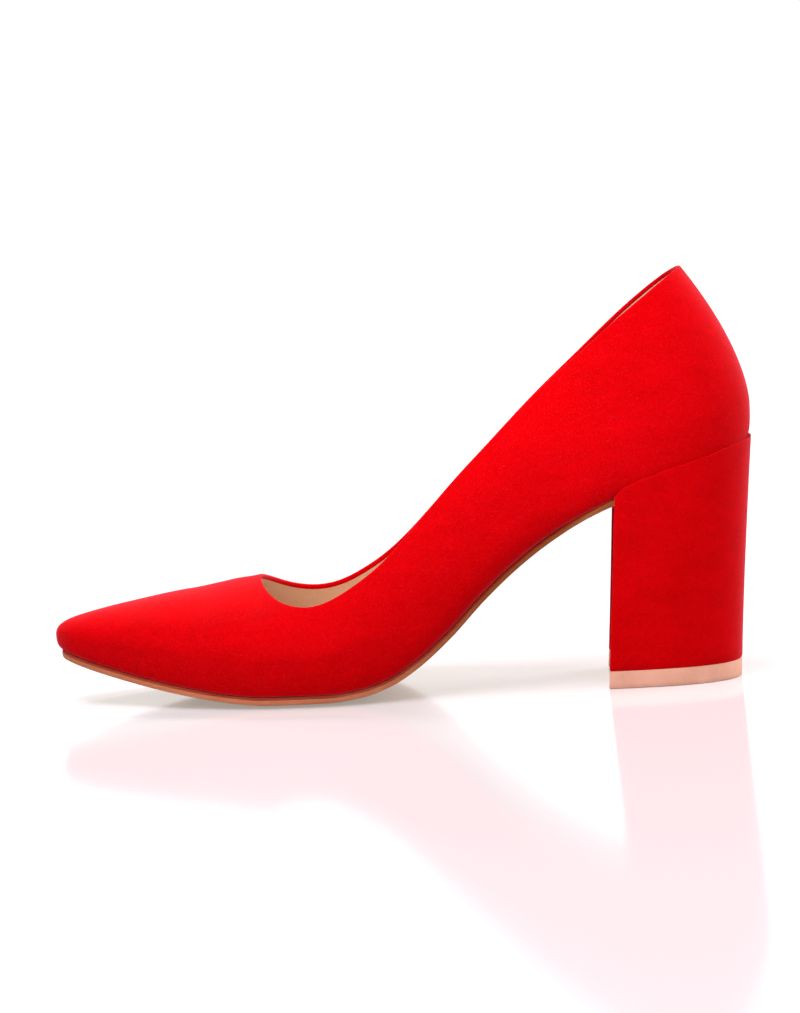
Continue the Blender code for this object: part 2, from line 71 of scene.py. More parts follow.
# sections of the last: x, then these in their order
sectionNames = ("featherIn", "featherOut", "bulgeIn", "bulgeOut", "bulgeHeight", "ridge", "rise",
                "close")
sectionRows = (
    (-111, 0, 0, 1.3, 1.3, 4.4, 26, 2, 2), (-108, 6.4, 6.6, 1.3, 1.3, 4.8, 27, 2, 2),
    (-103, 10.6, 11.2, 1.4, 1.4, 5.8, 28.2, 2, 2), (-95, 15, 16.4, 1.6, 1.6, 7.2, 30, 2, 2),
    (-80, 22, 23.8, 1.9, 1.9, 9.2, 32.8, 2, 2),
    (-60, 29.8, 31.6, 2.2, 2.3, 10.6, 36, 1.95, 1.85),
    (-44, 34, 36.4, 2.4, 2.5, 11.4, 38.7, 1.85, 1.65),
    (-30, 35, 39, 2.5, 2.6, 12, 45, 1.6, 1.55), (-15, 33.2, 39.2, 2.9, 2.8, 13.2, 56.5, 1.6, 1.6),
    (0, 28.6, 36.8, 3.9, 3.2, 15, 72, 1.75, 1.7), (15, 23.4, 32.8, 6.2, 3.9, 17.5, 90, 1.85, 1.65),
    (30, 20.4, 29, 8, 4.6, 19, 110, 1.9, 1.6), (45, 20.6, 26.8, 7.6, 4.6, 18, 130, 1.85, 1.5),
    (60, 23.2, 26, 4.9, 3.9, 15.5, 148, 1.8, 1.35), (75, 24.6, 25.6, 3.2, 3.2, 13.5, 158, 1.75, 1.2),
    (90, 23, 23.6, 2.6, 2.6, 12.5, 161, 1.7, 1.1), (102, 17.4, 17.6, 2.4, 2.4, 12.2, 158.5, 1.65, 1.02),
    (107, 11.6, 11.7, 2.3, 2.3, 12, 156.8, 1.64, 1), (110, 0, 0, 2.3, 2.3, 12, 156, 1.63, 1),
)

# the outsole's underside along its middle, from the tread back
archRows = (
    (-40, 0), (-24, 0), (-13, 1.1), (-4, 3.8), (5, 9), (15, 17.2), (26, 28.3), (37, 38),
    (48, 46.1), (58, 52), (66, 55.8), (76, 59.6), (92, 64.8), (114, 71.4),
)

# the opening's edge: x, height on the inner side, height on the outer side
toplineRows = (
    (-45.5, 38.3, 38.3), (-44, 36.7, 36.7), (-42, 35, 35), (-39, 33.1, 33), (-35, 31.7, 31.4),
    (-30, 31.1, 30.5), (-25, 31.9, 30.8), (-20, 34, 32.3), (-14, 37.5, 35.3), (-7, 42.5, 39.8),
    (0, 49, 45.8), (10, 59.8, 56), (20, 70.4, 66.4), (30, 80.2, 76.4), (40, 90, 86.4),
    (50, 98.8, 95.8), (60, 107, 104.8), (70, 115.2, 114), (80, 122.7, 122.3), (86, 127, 126.8),
    (92, 130.9, 130.9), (112, 143, 143),
)

# the rim of the heel's cover, seen from the side
rimRows = (
    (50, 46), (62, 54.6), (66.5, 59.3), (69.5, 62.8), (73, 65.2), (78, 67.1), (92, 71.1),
    (102, 74), (114, 77.3),
)


def columns(rows):
    return np.array(rows, float).T


def curve(xs, ys, firstSlope, lastSlope, between):  # goes straight on past both ends
    def value(x):
        x = np.asarray(x, float)
        i = np.clip(np.searchsorted(xs, x) - 1, 0, len(xs) - 2)
        y = np.where(x < xs[0], ys[0] + firstSlope * (x - xs[0]), between(x, i))
        return np.where(x > xs[-1], ys[-1] + lastSlope * (x - xs[-1]), y)

    return value


def smoothCurve(xs, ys):  # natural spline
    steps = np.diff(xs)
    slopes = np.diff(ys) / steps
    system, right = np.eye(len(xs)), np.zeros(len(xs))
    for i in range(1, len(xs) - 1):
        system[i, i - 1:i + 2] = steps[i - 1], 2 * (steps[i - 1] + steps[i]), steps[i]
        right[i] = 6 * (slopes[i] - slopes[i - 1])
    bends = np.linalg.solve(system, right)

    def between(x, i):
        a, b, h = xs[i + 1] - x, x - xs[i], steps[i]
        return ((bends[i] * a ** 3 + bends[i + 1] * b ** 3) / (6 * h)
                + (ys[i] / h - bends[i] * h / 6) * a
                + (ys[i + 1] / h - bends[i + 1] * h / 6) * b)

    return curve(xs, ys, slopes[0] - steps[0] * bends[1] / 6,
                 slopes[-1] + steps[-1] * bends[-2] / 6, between)


def steadyCurve(xs, ys):  # never overshoots its rows
    steps = np.diff(xs)
    slopes = np.diff(ys) / steps
    tangents = np.zeros(len(xs))
    tangents[0], tangents[-1] = slopes[0], slopes[-1]
    for i in range(1, len(xs) - 1):
        before, after = slopes[i - 1], slopes[i]
        if before * after > 0:
            beforeShare = 2 * steps[i] + steps[i - 1]
            afterShare = steps[i] + 2 * steps[i - 1]
            tangents[i] = (beforeShare + afterShare) / (beforeShare / before + afterShare / after)

    def between(x, i):
        t = np.clip((x - xs[i]) / steps[i], 0, 1)
        return ((1 + 2 * t) * (1 - t) ** 2 * ys[i] + t * (1 - t) ** 2 * steps[i] * tangents[i]
                + t * t * (3 - 2 * t) * ys[i + 1]
                + t * t * (t - 1) * steps[i] * tangents[i + 1])

    return curve(xs, ys, tangents[0], tangents[-1], between)


def joinedLine(xs, ys, endRun=6):  # goes on in the direction of its last points
    slope = (ys[-1] - ys[-endRun]) / (xs[-1] - xs[-endRun])
    return curve(xs, ys, 0.0, slope, lambda x, i: np.interp(x, xs, ys))


def crossing(shape, near, far, isNear):  # halves the stretch in which isNear ends
    near, far = np.full(shape, near, float), np.full(shape, far, float)
    for _ in range(halvings):
        middle = (near + far) / 2
        short = isNear(middle)
        near, far = np.where(short, middle, near), np.where(short, far, middle)
    return near


def planAngle(x):
    share = (np.asarray(x, float) - last["toeX"]) / (last["backX"] - last["toeX"])
    return np.arccos(1 - 2 * np.clip(share, 0, 1))


sectionX, *sectionValues = columns(sectionRows)
sectionCurves = {name: smoothCurve(planAngle(sectionX), values)
                 for name, values in zip(sectionNames, sectionValues)}
archCurve, rimCurve = (steadyCurve(*columns(rows)) for rows in (archRows, rimRows))
toplineX, *toplineHeights = columns(toplineRows)
toplineCurves = {side: smoothCurve(toplineX, heights)
                 for side, heights in zip((inner, outer), toplineHeights)}


def section(name, x):
    return sectionCurves[name](planAngle(x))


def sidedSection(name, x, side):
    return np.where(side == inner, section(name + "In", x), section(name + "Out", x))


def soleUnderside(x):
    x = np.asarray(x, float)
    front, back = last["tread"]
    share = np.clip((front - x) / (front - last["toeX"]), 0, None)
    spring = last["toeSpring"] * share ** last["springPower"]
    return np.where(x < front, spring, archCurve(np.maximum(x, back)))


def aboveSole(x, *layers):
    start, end = last["soleThins"]
    share = np.clip((x - start) / (end - start), 0, 1)
    thick = last["soleFore"] + (last["soleWaist"] - last["soleFore"]) * share ** 2 * (3 - 2 * share)
    for name in layers:
        thick = thick + last[name]
    # layers are measured square to the arch's slope
    rise = soleUnderside(x + slopeStep) - soleUnderside(x - slopeStep)
    return soleUnderside(x) + last["crown"] + thick * np.hypot(1, rise / (2 * slopeStep))


def soleTop(x):
    return aboveSole(x)


def upperUnderside(x):
    return aboveSole(x, "gap")


def insoleUnderside(x):
    return aboveSole(x, "gap", "upperWall", "gap")


def insoleTop(x):
    return aboveSole(x, "gap", "upperWall", "gap", "insole")


def powerArc(share, squareness):
    turn = share * quarterTurn
    return (np.maximum(np.cos(turn), 0) ** (2 / squareness),
            np.maximum(np.sin(turn), 0) ** (2 / squareness))


def makeRibs(axisX, turn, side):
    # upright planes from the plan's axis out to the sides; every value is an array of one shape
    axisX, turn, side = np.broadcast_arrays(np.asarray(axisX, float), turn, side)
    atToe = axisX <= last["toeFanX"]
    ribs = {"axisX": axisX, "turn": turn, "side": side,
            "alongX": np.sin(turn) * np.where(atToe, -1, 1), "alongY": side * np.cos(turn)}

    def within(reach):
        x, y = ribX(ribs, reach), np.abs(reach * ribs["alongY"])
        return (x > last["toeX"]) & (x < last["backX"]) & (y < sidedSection("feather", x, side))

    feather = crossing(axisX.shape, 0, searchReach, within)
    x = ribX(ribs, feather)
    toeX = last["toeFanX"]
    toeRise = section("ridge", toeX + slopeStep) - section("ridge", toeX - slopeStep)
    ribs.update(feather=feather, bulge=feather + sidedSection("bulge", x, side),
                bulgeHeight=section("bulgeHeight", x), rise=section("rise", x),
                close=section("close", x),
                ridge=section("ridge", np.where(atToe, toeX, x)),
                fall=np.where(atToe, toeRise / (2 * slopeStep) * np.sin(turn), 0.0))
    return ribs


def ribX(ribs, reach):
    return ribs["axisX"] + reach * ribs["alongX"]


def place(ribs, reach, height):
    return np.stack(np.broadcast_arrays(ribX(ribs, reach), reach * ribs["alongY"], height), -1)


def placeOn(layer, ribs, reach, above=0.0):
    return place(ribs, reach, layer(ribX(ribs, reach)) + above)


def rollAt(ribs, share):  # round the feather edge and out to the bulge
    start = ribs["feather"] - last["roll"]
    cosine, sine = powerArc(share, last["rollSquareness"])
    reach = start + (ribs["bulge"] - start) * sine
    return reach, upperUnderside(ribX(ribs, reach)) + ribs["bulgeHeight"] * (1 - cosine)


def wallAt(ribs, share):  # from the bulge up towards the ridge
    turn = share * quarterTurn
    reach = ribs["bulge"] * np.maximum(np.cos(turn), 0) ** (2 / ribs["close"])
    start = upperUnderside(ribX(ribs, ribs["bulge"])) + ribs["bulgeHeight"]
    height = start + (ribs["ridge"] - start) * np.sin(turn) ** (2 / ribs["rise"])
    return reach, height - ribs["fall"] * reach * (1 - reach / ribs["bulge"])


def edgeShare(ribs, edges, throatX):  # how far up the wall the opening's edge lies
    def below(share):
        reach, height = wallAt(ribs, share)
        x = ribX(ribs, reach)
        return height < np.where(ribs["side"] == inner, edges[inner](x), edges[outer](x))

    share = crossing(ribs["axisX"].shape, 0, 1, below)
    return np.where(ribs["axisX"] > throatX + tiny, share, 1.0)


def besideRoll(ribs, share, distance):  # at a distance from the low part of the upper's wall
    reach, height = rollAt(ribs, share)
    ahead, above = rollAt(ribs, share + shareStep)
    run, climb = ahead - reach, above - height
    length = np.hypot(run, climb)
    return place(ribs, reach + distance * climb / length, height - distance * run / length)


# Meshes

def unit(vectors):
    return vectors / np.linalg.norm(vectors, axis=1)[:, None]


def alongRing(points):
    return np.roll(points, -1, axis=0) - np.roll(points, 1, axis=0)


def facing(vectors, away):  # the vectors or their opposites, whichever mostly point away
    return vectors * np.sign((vectors * away).sum())


def addGrid(skin, points, closed=True, material=0, flip=False):
    # faces over points[column, row]; points that coincide become one vertex
    mesh, known = skin
    verts = []
    for line, keys in zip(points, np.round(points * weldSteps).astype(int)):
        verts.append([])
        for (x, y, z), key in zip(line, map(tuple, keys)):
            if key not in known:
                known[key] = mesh.verts.new((x * mm, (y + last["shiftY"]) * mm, z * mm))
            verts[-1].append(known[key])
    count = len(verts)
    for i in range(count if closed else count - 1):
        here, there = verts[i], verts[(i + 1) % count]
        for j in range(len(here) - 1):
            corners = []
            for vert in (here[j], here[j + 1], there[j + 1], there[j]):
                if vert not in corners:
                    corners.append(vert)
            if len(corners) > 2 and mesh.faces.get(corners) is None:
                face = mesh.faces.new(corners[::-1] if flip else corners)
                face.material_index = material
    return verts


def newSkin(*grids):
    skin = bmesh.new(), {}
    for points in grids:
        addGrid(skin, points)
    return skin


def newObject(name, data):
    thing = bpy.data.objects.new(name, data)
    bpy.context.scene.collection.objects.link(thing)
    return thing


def newShell(outside, inside, edge):
    skin = newSkin(outside)
    addGrid(skin, inside, flip=True)
    addGrid(skin, edge)
    addGrid(skin, np.stack([inside[:, 0], outside[:, 0]], axis=1))
    return skin


def gridNormals(points):
    # outward normal at every point of a grid, with shared points counted once
    skin = newSkin()
    verts = addGrid(skin, points)
    skin[0].normal_update()
    normals = np.array([[vert.normal for vert in line] for line in verts])
    skin[0].free()
    return facing(normals, points - points.reshape(-1, 3).mean(axis=0))


def makePiece(name, skin, materials, nodes, sharpAngle):
    mesh = skin[0]
    bmesh.ops.recalc_face_normals(mesh, faces=mesh.faces)
    data = bpy.data.meshes.new(name)
    mesh.to_mesh(data)
    mesh.free()
    piece = newObject(name, data)
    for material in materials:
        data.materials.append(material)
    data.shade_smooth()
    data.set_sharp_from_angle(angle=math.radians(sharpAngle))
    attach(piece, "root")
    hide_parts(*nodes)
    print(f"made {name}: {len(data.polygons)} faces")
    return piece


def evenSteps(points, count):  # even steps along each column of dense points
    spaced = []
    for line in points:
        lengths = np.concatenate([[0], np.cumsum(np.linalg.norm(np.diff(line, axis=0), axis=1))])
        places = np.linspace(0, lengths[-1], count + 1)
        spaced.append(np.stack([np.interp(places, lengths, line[:, axis]) for axis in range(3)], -1))
    return np.array(spaced)


# Node helpers

def fill(tree, sockets, values):  # a value is a number, a colour or the socket of another node
    for name, value in values.items():
        if isinstance(value, bpy.types.NodeSocket):
            tree.links.new(value, sockets[name])
        else:
            sockets[name].default_value = value


def addNode(tree, kind, values=None, **settings):
    node = tree.nodes.new("ShaderNode" + kind)
    for name, value in settings.items():
        setattr(node, name, value)
    fill(tree, node.inputs, values or {})
    return node


def maths(tree, operation, first, second):
    return addNode(tree, "Math", {0: first, 1: second}, operation=operation).outputs[0]


def useGroup(tree, group, values):
    return addNode(tree, "Group", values, node_tree=group).outputs


def mixColours(tree, share, first, second):
    return addNode(tree, "Mix", {0: share, 6: first, 7: second}, data_type="RGBA").outputs[2]


def objectPlace(tree):
    return addNode(tree, "TexCoord").outputs["Object"]


def weighted(tree, *parts):  # the sum of pairs of a value and its weight
    total = 0.0
    for value, weight in parts:
        total = maths(tree, "ADD", maths(tree, "MULTIPLY", value, weight), total)
    return total


def spread(tree, value, low, high, toLow=0.0, toHigh=1.0):
    return addNode(tree, "MapRange", {"Value": value, "From Min": low, "From Max": high,
                                      "To Min": toLow, "To Max": toHigh}).outputs[0]


def evenly(tree, value, toLow=0.0, toHigh=1.0):  # opens up the narrow range of a noise
    return spread(tree, value, *noiseRange, toLow, toHigh)


def noise(tree, where, scale, detail=2.0, roughness=0.5, distortion=0.0):
    return addNode(tree, "TexNoise", {
        "Vector": where, "Scale": scale, "Detail": detail, "Roughness": roughness,
        "Distortion": distortion}).outputs["Fac"]


def stretched(tree, where, scale):
    return addNode(tree, "Mapping", {"Vector": where, "Scale": scale}).outputs[0]


def newGroup(name, colours, numbers):
    group = bpy.data.node_groups.new(name, "ShaderNodeTree")
    for way, kind, labels in (("INPUT", "Color", colours), ("INPUT", "Float", numbers),
                              ("OUTPUT", "Color", ("Color",)),
                              ("OUTPUT", "Float", ("Roughness", "Height"))):
        for label in labels:
            group.interface.new_socket(name=label, in_out=way, socket_type="NodeSocket" + kind)
    given = group.nodes.new("NodeGroupInput").outputs
    return group, given, group.nodes.new("NodeGroupOutput").inputs


def newMaterial(name):
    material = bpy.data.materials.new(name)
    material.use_nodes = True
    return material, material.node_tree, material.node_tree.nodes["Principled BSDF"].inputs


def makeMaterial(name, finish, surface):  # surface gives the colour, roughness and height
    material, tree, sockets = newMaterial(name)
    colour, roughness, height = surface(tree, finish)
    depth, strength = finish["bump"]
    bump = addNode(tree, "Bump", {"Height": height, "Distance": depth * mm, "Strength": strength})
    fill(tree, sockets, {"Base Color": colour, "Roughness": roughness,
                         "Normal": bump.outputs[0]} | finish["surface"])
    return material


# Shared effects

noiseRange = (0.3, 0.7)  # nearly all of a noise lies between these
napLook = {
    "laidScale": (900.0, 2600.0, 2600.0), "strokeScale": (70.0, 210.0, 260.0),  # along the shoe
    "glintScale": 1.9, "tuftScale": 6.5,  # times the scales of the fibres and the patches
    # detail, roughness and distortion of each noise
    "fibres": (4.0, 0.62, 0.4), "laid": (2.0, 0.5, 0.8), "patches": (4.0, 0.55, 0.3),
    "strokes": (3.0, 0.55), "glintSpecks": (1.0, 0.5), "tufts": (3.0, 0.6, 0.5),
    "fibreRange": (0.34, 0.66), "strokeRange": (0.32, 0.68), "glintRange": (0.60, 0.74),
    "patchWeight": 0.28, "strokeWeight": 0.20, "fibreWeight": 0.32, "tuftWeight": 0.20,
    "fibreHeight": 0.6, "laidHeight": 0.4, "roughness": (0.88, 0.98),
}


def makeSuedeNap():
    # short fibres that lie in patches, darker where they stand up, with painted sheen glints on stray
    # fibre tips
    group, given, result = newGroup("suedeNap", ("Deep", "Bright", "Tip"),
                                    ("Fibre Scale", "Patch Scale", "Tip Share"))
    look = napLook
    where, fibreScale, patchScale = objectPlace(group), given["Fibre Scale"], given["Patch Scale"]
    fibres = noise(group, where, fibreScale, *look["fibres"])
    laid = noise(group, stretched(group, where, look["laidScale"]), 1.0, *look["laid"])
    patches = noise(group, where, patchScale, *look["patches"])
    strokes = noise(group, stretched(group, where, look["strokeScale"]), 1.0, *look["strokes"])
    glintScale = maths(group, "MULTIPLY", fibreScale, look["glintScale"])
    glintSpecks = noise(group, where, glintScale, *look["glintSpecks"])
    tuftScale = maths(group, "MULTIPLY", patchScale, look["tuftScale"])
    tufts = noise(group, where, tuftScale, *look["tufts"])
    tone = weighted(group, (evenly(group, patches), look["patchWeight"]),
                    (spread(group, strokes, *look["strokeRange"]), look["strokeWeight"]),
                    (spread(group, fibres, *look["fibreRange"]), look["fibreWeight"]),
                    (evenly(group, tufts), look["tuftWeight"]))
    colour = mixColours(group, tone, given["Deep"], given["Bright"])
    # painted sheen: random specks mixed towards the pale pink glint colour
    glints = maths(group, "MULTIPLY", spread(group, glintSpecks, *look["glintRange"]), given["Tip Share"])
    fill(group, result, {
        "Color": mixColours(group, glints, colour, given["Tip"]),
        "Roughness": evenly(group, patches, *look["roughness"]),
        "Height": weighted(group, (fibres, look["fibreHeight"]), (laid, look["laidHeight"]))})
    return group


grainLook = {
    "poreRange": (0.02, 0.22), "fineScale": 2.2,  # times the scale of the pores
    "clouds": (5.0, 0.6),  # detail and roughness
    "cloudWeight": 0.6, "poreWeight": 0.25, "fineWeight": 0.15,
    "poreHeight": 0.6, "fineHeight": 0.4, "roughness": (0.50, 0.64),
}


def makeLeatherGrain():
    # smooth leather: fine pores over soft clouds of tone
    group, given, result = newGroup("leatherGrain", ("Dark", "Light"),
                                    ("Pore Scale", "Cloud Scale"))
    look = grainLook
    where, poreScale = objectPlace(group), given["Pore Scale"]
    cells = addNode(group, "TexVoronoi", {"Vector": where, "Scale": poreScale},
                    feature="DISTANCE_TO_EDGE").outputs["Distance"]
    pores = spread(group, cells, *look["poreRange"])
    clouds = noise(group, where, given["Cloud Scale"], *look["clouds"])
    fine = noise(group, where, maths(group, "MULTIPLY", poreScale, look["fineScale"]))
    tone = weighted(group, (evenly(group, clouds), look["cloudWeight"]),
                    (pores, look["poreWeight"]), (fine, look["fineWeight"]))
    fill(group, result, {
        "Color": mixColours(group, tone, given["Dark"], given["Light"]),
        "Roughness": evenly(group, clouds, *look["roughness"]),
        "Height": weighted(group, (pores, look["poreHeight"]), (fine, look["fineHeight"]))})
    return group


suedeNap = makeSuedeNap()
leatherGrain = makeLeatherGrain()
print("made the shared effects")

# Finishes

suedeFinish = {
    "nap": {"Deep": (0.480, 0.0, 0.0004, 1), "Bright": (0.720, 0.0, 0.0020, 1),
            # the glint colour is painted sheen on the tips of the nap
            "Tip": (0.96, 0.020, 0.060, 1), "Fibre Scale": 1700.0, "Patch Scale": 62.0},
    # how much painted sheen glint shows, less on the heel's cover
    "tipShare": 0.34, "heelTipShare": 0.204,
    "bump": (0.24, 0.7),  # depth in mm, and strength
    "surface": {"Sheen Weight": 0.70, "Sheen Roughness": 0.32, "Sheen Tint": (1.0, 0.18, 0.23, 1),
                "Specular IOR Level": 0.015},
}
leatherFinish = {"bumpStrength": 0.6, "surface": {"Specular IOR Level": 0.35}}
# name, dark, light, scales of the pores and clouds, roughness, depth of the bumps in mm
leatherRows = (
    ("liningNude", (0.66, 0.43, 0.30, 1), (0.80, 0.57, 0.42, 1), 1100.0, 40.0, 0.58, 0.05),
    ("sockNude", (0.70, 0.47, 0.33, 1), (0.84, 0.61, 0.46, 1), 800.0, 32.0, 0.52, 0.07),
    ("soleBeige", (0.72, 0.52, 0.36, 1), (0.86, 0.68, 0.50, 1), 520.0, 22.0, 0.50, 0.05),
)


def suede(tree, finish):
    nap = useGroup(tree, suedeNap, finish["nap"] | {"Tip Share": finish["tipShare"]})
    return nap["Color"], nap["Roughness"], nap["Height"]


def leather(tree, finish):
    grain = useGroup(tree, leatherGrain, finish["grain"])
    change = finish["roughness"] - sum(grainLook["roughness"]) / 2
    return grain["Color"], maths(tree, "ADD", grain["Roughness"], change), grain["Height"]


upperRed = makeMaterial("upperRed", suedeFinish, suede)
# the heel's suede: the same finish with fewer painted sheen glints
heelRed = makeMaterial("heelRed", suedeFinish | {"tipShare": suedeFinish["heelTipShare"]}, suede)
liningNude, sockNude, soleBeige = (
    makeMaterial(name, leatherFinish | {
        "grain": {"Dark": dark, "Light": light, "Pore Scale": pores, "Cloud Scale": clouds},
        "roughness": roughness, "bump": (depth, leatherFinish["bumpStrength"])}, leather)
    for name, dark, light, pores, clouds, roughness, depth in leatherRows)

edgeFinish = {
    # at the ball, and at the toe and waist
    "grains": ({"Dark": (0.70, 0.205, 0.085, 1), "Light": (0.80, 0.310, 0.160, 1)},
               {"Dark": (0.31, 0.068, 0.009, 1), "Light": (0.39, 0.120, 0.018, 1)}),
    "scales": {"Pore Scale": 1500.0, "Cloud Scale": 160.0},
    "burnish": (0.40, 0.022, 0.007, 1), "layerBurnish": 0.25,
    "leastBurnish": 0.0, "topBurnish": 0.70,  # of the edge, and of its top
    "layers": (60.0, 60.0, 2600.0), "layerRange": (0.40, 0.70),
    "toeX": (-0.106, -0.070), "waistX": (-0.012, 0.026),  # m, between them the edge turns darker
    "toeShares": (0.30, 0.0), "waistShares": (0.0, 0.90),
    "bump": (0.05, 0.5), "surface": {"Specular IOR Level": 0.12},
}


def soleEdge(tree, finish):
    # burnished edge: tan at the ball, darker round the toe, under the arch and along its top
    where = objectPlace(tree)
    x = addNode(tree, "SeparateXYZ", {0: where}).outputs["X"]
    toe = spread(tree, x, *finish["toeX"], *finish["toeShares"])
    waist = spread(tree, x, *finish["waistX"], *finish["waistShares"])
    ball, ends = (useGroup(tree, leatherGrain, grain | finish["scales"]) for grain in finish["grains"])
    colour = mixColours(tree, maths(tree, "MAXIMUM", toe, waist), ball["Color"], ends["Color"])
    layers = noise(tree, stretched(tree, where, finish["layers"]), 1.0)
    least = finish["leastBurnish"]
    burnish = spread(tree, layers, *finish["layerRange"], least, least + finish["layerBurnish"])
    return mixColours(tree, burnish, colour, finish["burnish"]), ball["Roughness"], layers


soleEdgeTan = makeMaterial("soleEdgeTan", edgeFinish, soleEdge)
soleEdgeDark = makeMaterial("soleEdgeDark", edgeFinish | {"leastBurnish": edgeFinish["topBurnish"]},
                            soleEdge)

rubberFinish = {
    "dark": (0.78, 0.36, 0.24, 1), "light": (0.94, 0.48, 0.34, 1), "scuff": (0.93, 0.62, 0.48, 1),
    "mottle": (120.0, 5.0, 0.6), "fine": (2600.0, 3.0, 0.6),  # scale, detail and roughness
    "scuffs": (420.0, 4.0, 0.7),
    "mottleWeight": 0.7, "fineWeight": 0.3, "scuffRange": (0.50, 0.66),
    "scuffZ": (0.0, 0.0014), "scuffShares": (0.6, 0.0),  # m, scuffed up to this height
    "roughness": (0.55, 0.70), "bump": (0.04, 0.6), "surface": {"Specular IOR Level": 0.3},
}


def rubber(tree, finish):
    # moulded rubber: soft mottling, a little paler where it meets the floor
    where = objectPlace(tree)
    z = addNode(tree, "SeparateXYZ", {0: where}).outputs["Z"]
    mottle, fine, scuffs = (noise(tree, where, *finish[name]) for name in ("mottle", "fine", "scuffs"))
    tone = weighted(tree, (evenly(tree, mottle), finish["mottleWeight"]),
                    (fine, finish["fineWeight"]))
    colour = mixColours(tree, tone, finish["dark"], finish["light"])
    scuffed = maths(tree, "MULTIPLY", spread(tree, z, *finish["scuffZ"], *finish["scuffShares"]),
                    spread(tree, scuffs, *finish["scuffRange"]))
    return (mixColours(tree, scuffed, colour, finish["scuff"]),
            evenly(tree, mottle, *finish["roughness"]), fine)


topPiecePeach = makeMaterial("topPiecePeach", rubberFinish, rubber)
print("made the finishes")

# Stations of the ribs, from the tip of the toe to the middle of the back

stationPlan = {"toeFan": 22, "heelFan": 34, "vampStep": 1.6, "sideStep": 1.8,
               "throatSteps": 14, "throatSpan": 4.0,
               "wallSamples": 240,  # points from which a wall's even steps are taken
               "searchRows": 60}  # rows of the wall on which the edge is set back


def stations(throatX):
    plan, toeX, heelX = stationPlan, last["toeFanX"], last["heelFanX"]
    toe = [(toeX, quarterTurn * (1 - i / plan["toeFan"])) for i in range(plan["toeFan"])]
    xs = list(np.linspace(toeX, throatX, round((throatX - toeX) / plan["vampStep"]) + 1))
    # squared steps, because the edge of the throat runs almost along the ribs
    xs += [throatX + plan["throatSpan"] * (i / plan["throatSteps"]) ** 2
           for i in range(1, plan["throatSteps"] + 1)]
    xs += list(np.linspace(xs[-1], heelX, round((heelX - xs[-1]) / plan["sideStep"]) + 1))[1:]
    heel = [(heelX, quarterTurn * i / plan["heelFan"]) for i in range(1, plan["heelFan"] + 1)]
    return toe + [(x, 0.0) for x in xs] + heel


def ribsRound(places):
    # from next to the back on the inner side, round the toe, to the middle of the back
    axes, turns = columns(places)
    innerRibs = slice(-2, None, -1)
    sides = np.where(np.arange(2 * len(axes) - 2) < len(axes) - 1, inner, outer)
    return makeRibs(np.concatenate([axes[innerRibs], axes[1:]])[:, None],
                    np.concatenate([turns[innerRibs], turns[1:]])[:, None], sides[:, None])


def wallRows(ribs, edges, throatX, steps):
    top = edgeShare(ribs, edges, throatX)
    reach, height = wallAt(ribs, top * np.linspace(0, 1, stationPlan["wallSamples"])[None, :])
    return evenSteps(place(ribs, reach, height), steps)


def reachesOpening(ribs, throatX):
    return ribs["axisX"][:, 0] > throatX - tiny


def openingFrame(points, normals, isOpen):
    # along the opening's edge: places, outward normals, and directions into the opening
    edge, normal = points[isOpen, -1], normals[isOpen, -1]
    keep = np.ones(len(edge), bool)
    keep[1:] = np.linalg.norm(np.diff(edge, axis=0), axis=1) > samePlace  # the throat comes twice
    along = unit(alongRing(edge[keep]))[np.cumsum(keep) - 1]
    upRib = points[isOpen, -1] - points[isOpen, -2]
    return edge, normal, facing(unit(np.cross(normal, along)), upRib)


def edgeBelowTopline(depth):
    # the opening's edge moved back into the upper by depth, as curves of height over x
    throatX = last["throatX"]
    ribs = ribsRound(stations(throatX))
    points = wallRows(ribs, toplineCurves, throatX, stationPlan["searchRows"])
    isOpen = reachesOpening(ribs, throatX)
    edge, _, into = openingFrame(points, gridNormals(points), isOpen)
    moved = edge - into * depth
    curves = {}
    for side in (inner, outer):
        own = moved[ribs["side"][isOpen, 0] == side]
        own = own[np.argsort(own[:, 0])]
        curves[side] = joinedLine(own[:, 0], own[:, 2])
    return curves, moved[:, 0].min()


# Upper: suede, with its edge folded over round the opening

upperShape = {
    "rollSteps": 12, "wallSteps": 44, "marginSteps": 3,
    "suedeThickness": 0.8,
    "foldRadius": 0.85,  # half the thickness of the folded edge
    "foldTurn": 200.0, "foldSteps": 10, "sharpAngle": 60,
    "sideBlend": 6.0,  # from the middle line, where a wave of one side fades in
    # soft waves of the suede: from x and z, to x and z, side, width and height out of the wall
    "waves": (
        (-53.0, 30.0, -53.0, 40.0, both, 4.5, 0.40),
        (-66.0, 28.0, -66.0, 40.0, both, 5.5, -0.28),
        (-38.0, 8.0, -27.0, 17.0, inner, 5.0, -0.16),
        (-27.0, 10.0, -17.0, 22.0, inner, 5.0, 0.14),
        (-16.0, 13.0, -5.0, 27.0, inner, 4.5, -0.14),
        (30.0, 52.0, 48.0, 62.0, inner, 5.0, -0.16),
        (66.0, 74.0, 92.0, 84.0, inner, 5.5, 0.14),
        (-34.0, 9.0, -24.0, 19.0, outer, 5.0, -0.16),
        (-15.0, 12.0, -4.0, 26.0, outer, 4.5, 0.14),
        (26.0, 46.0, 46.0, 60.0, outer, 5.5, -0.14),
        (64.0, 76.0, 90.0, 86.0, outer, 5.0, 0.12),
    ),
}


def waveHeight(points):
    x, y, z = points[..., 0], points[..., 1], points[..., 2]
    total = np.zeros(x.shape)
    for x0, z0, x1, z1, side, width, height in upperShape["waves"]:
        runX, runZ = x1 - x0, z1 - z0
        along = np.clip(((x - x0) * runX + (z - z0) * runZ) / (runX ** 2 + runZ ** 2), 0, 1)
        away = np.hypot(x - x0 - along * runX, z - z0 - along * runZ)
        fadeIn = np.clip(side * y / upperShape["sideBlend"], 0, 1)
        onSide = 1.0 if side == both else fadeIn
        total += height * np.exp(-(away / width) ** 2) * onSide
    return total


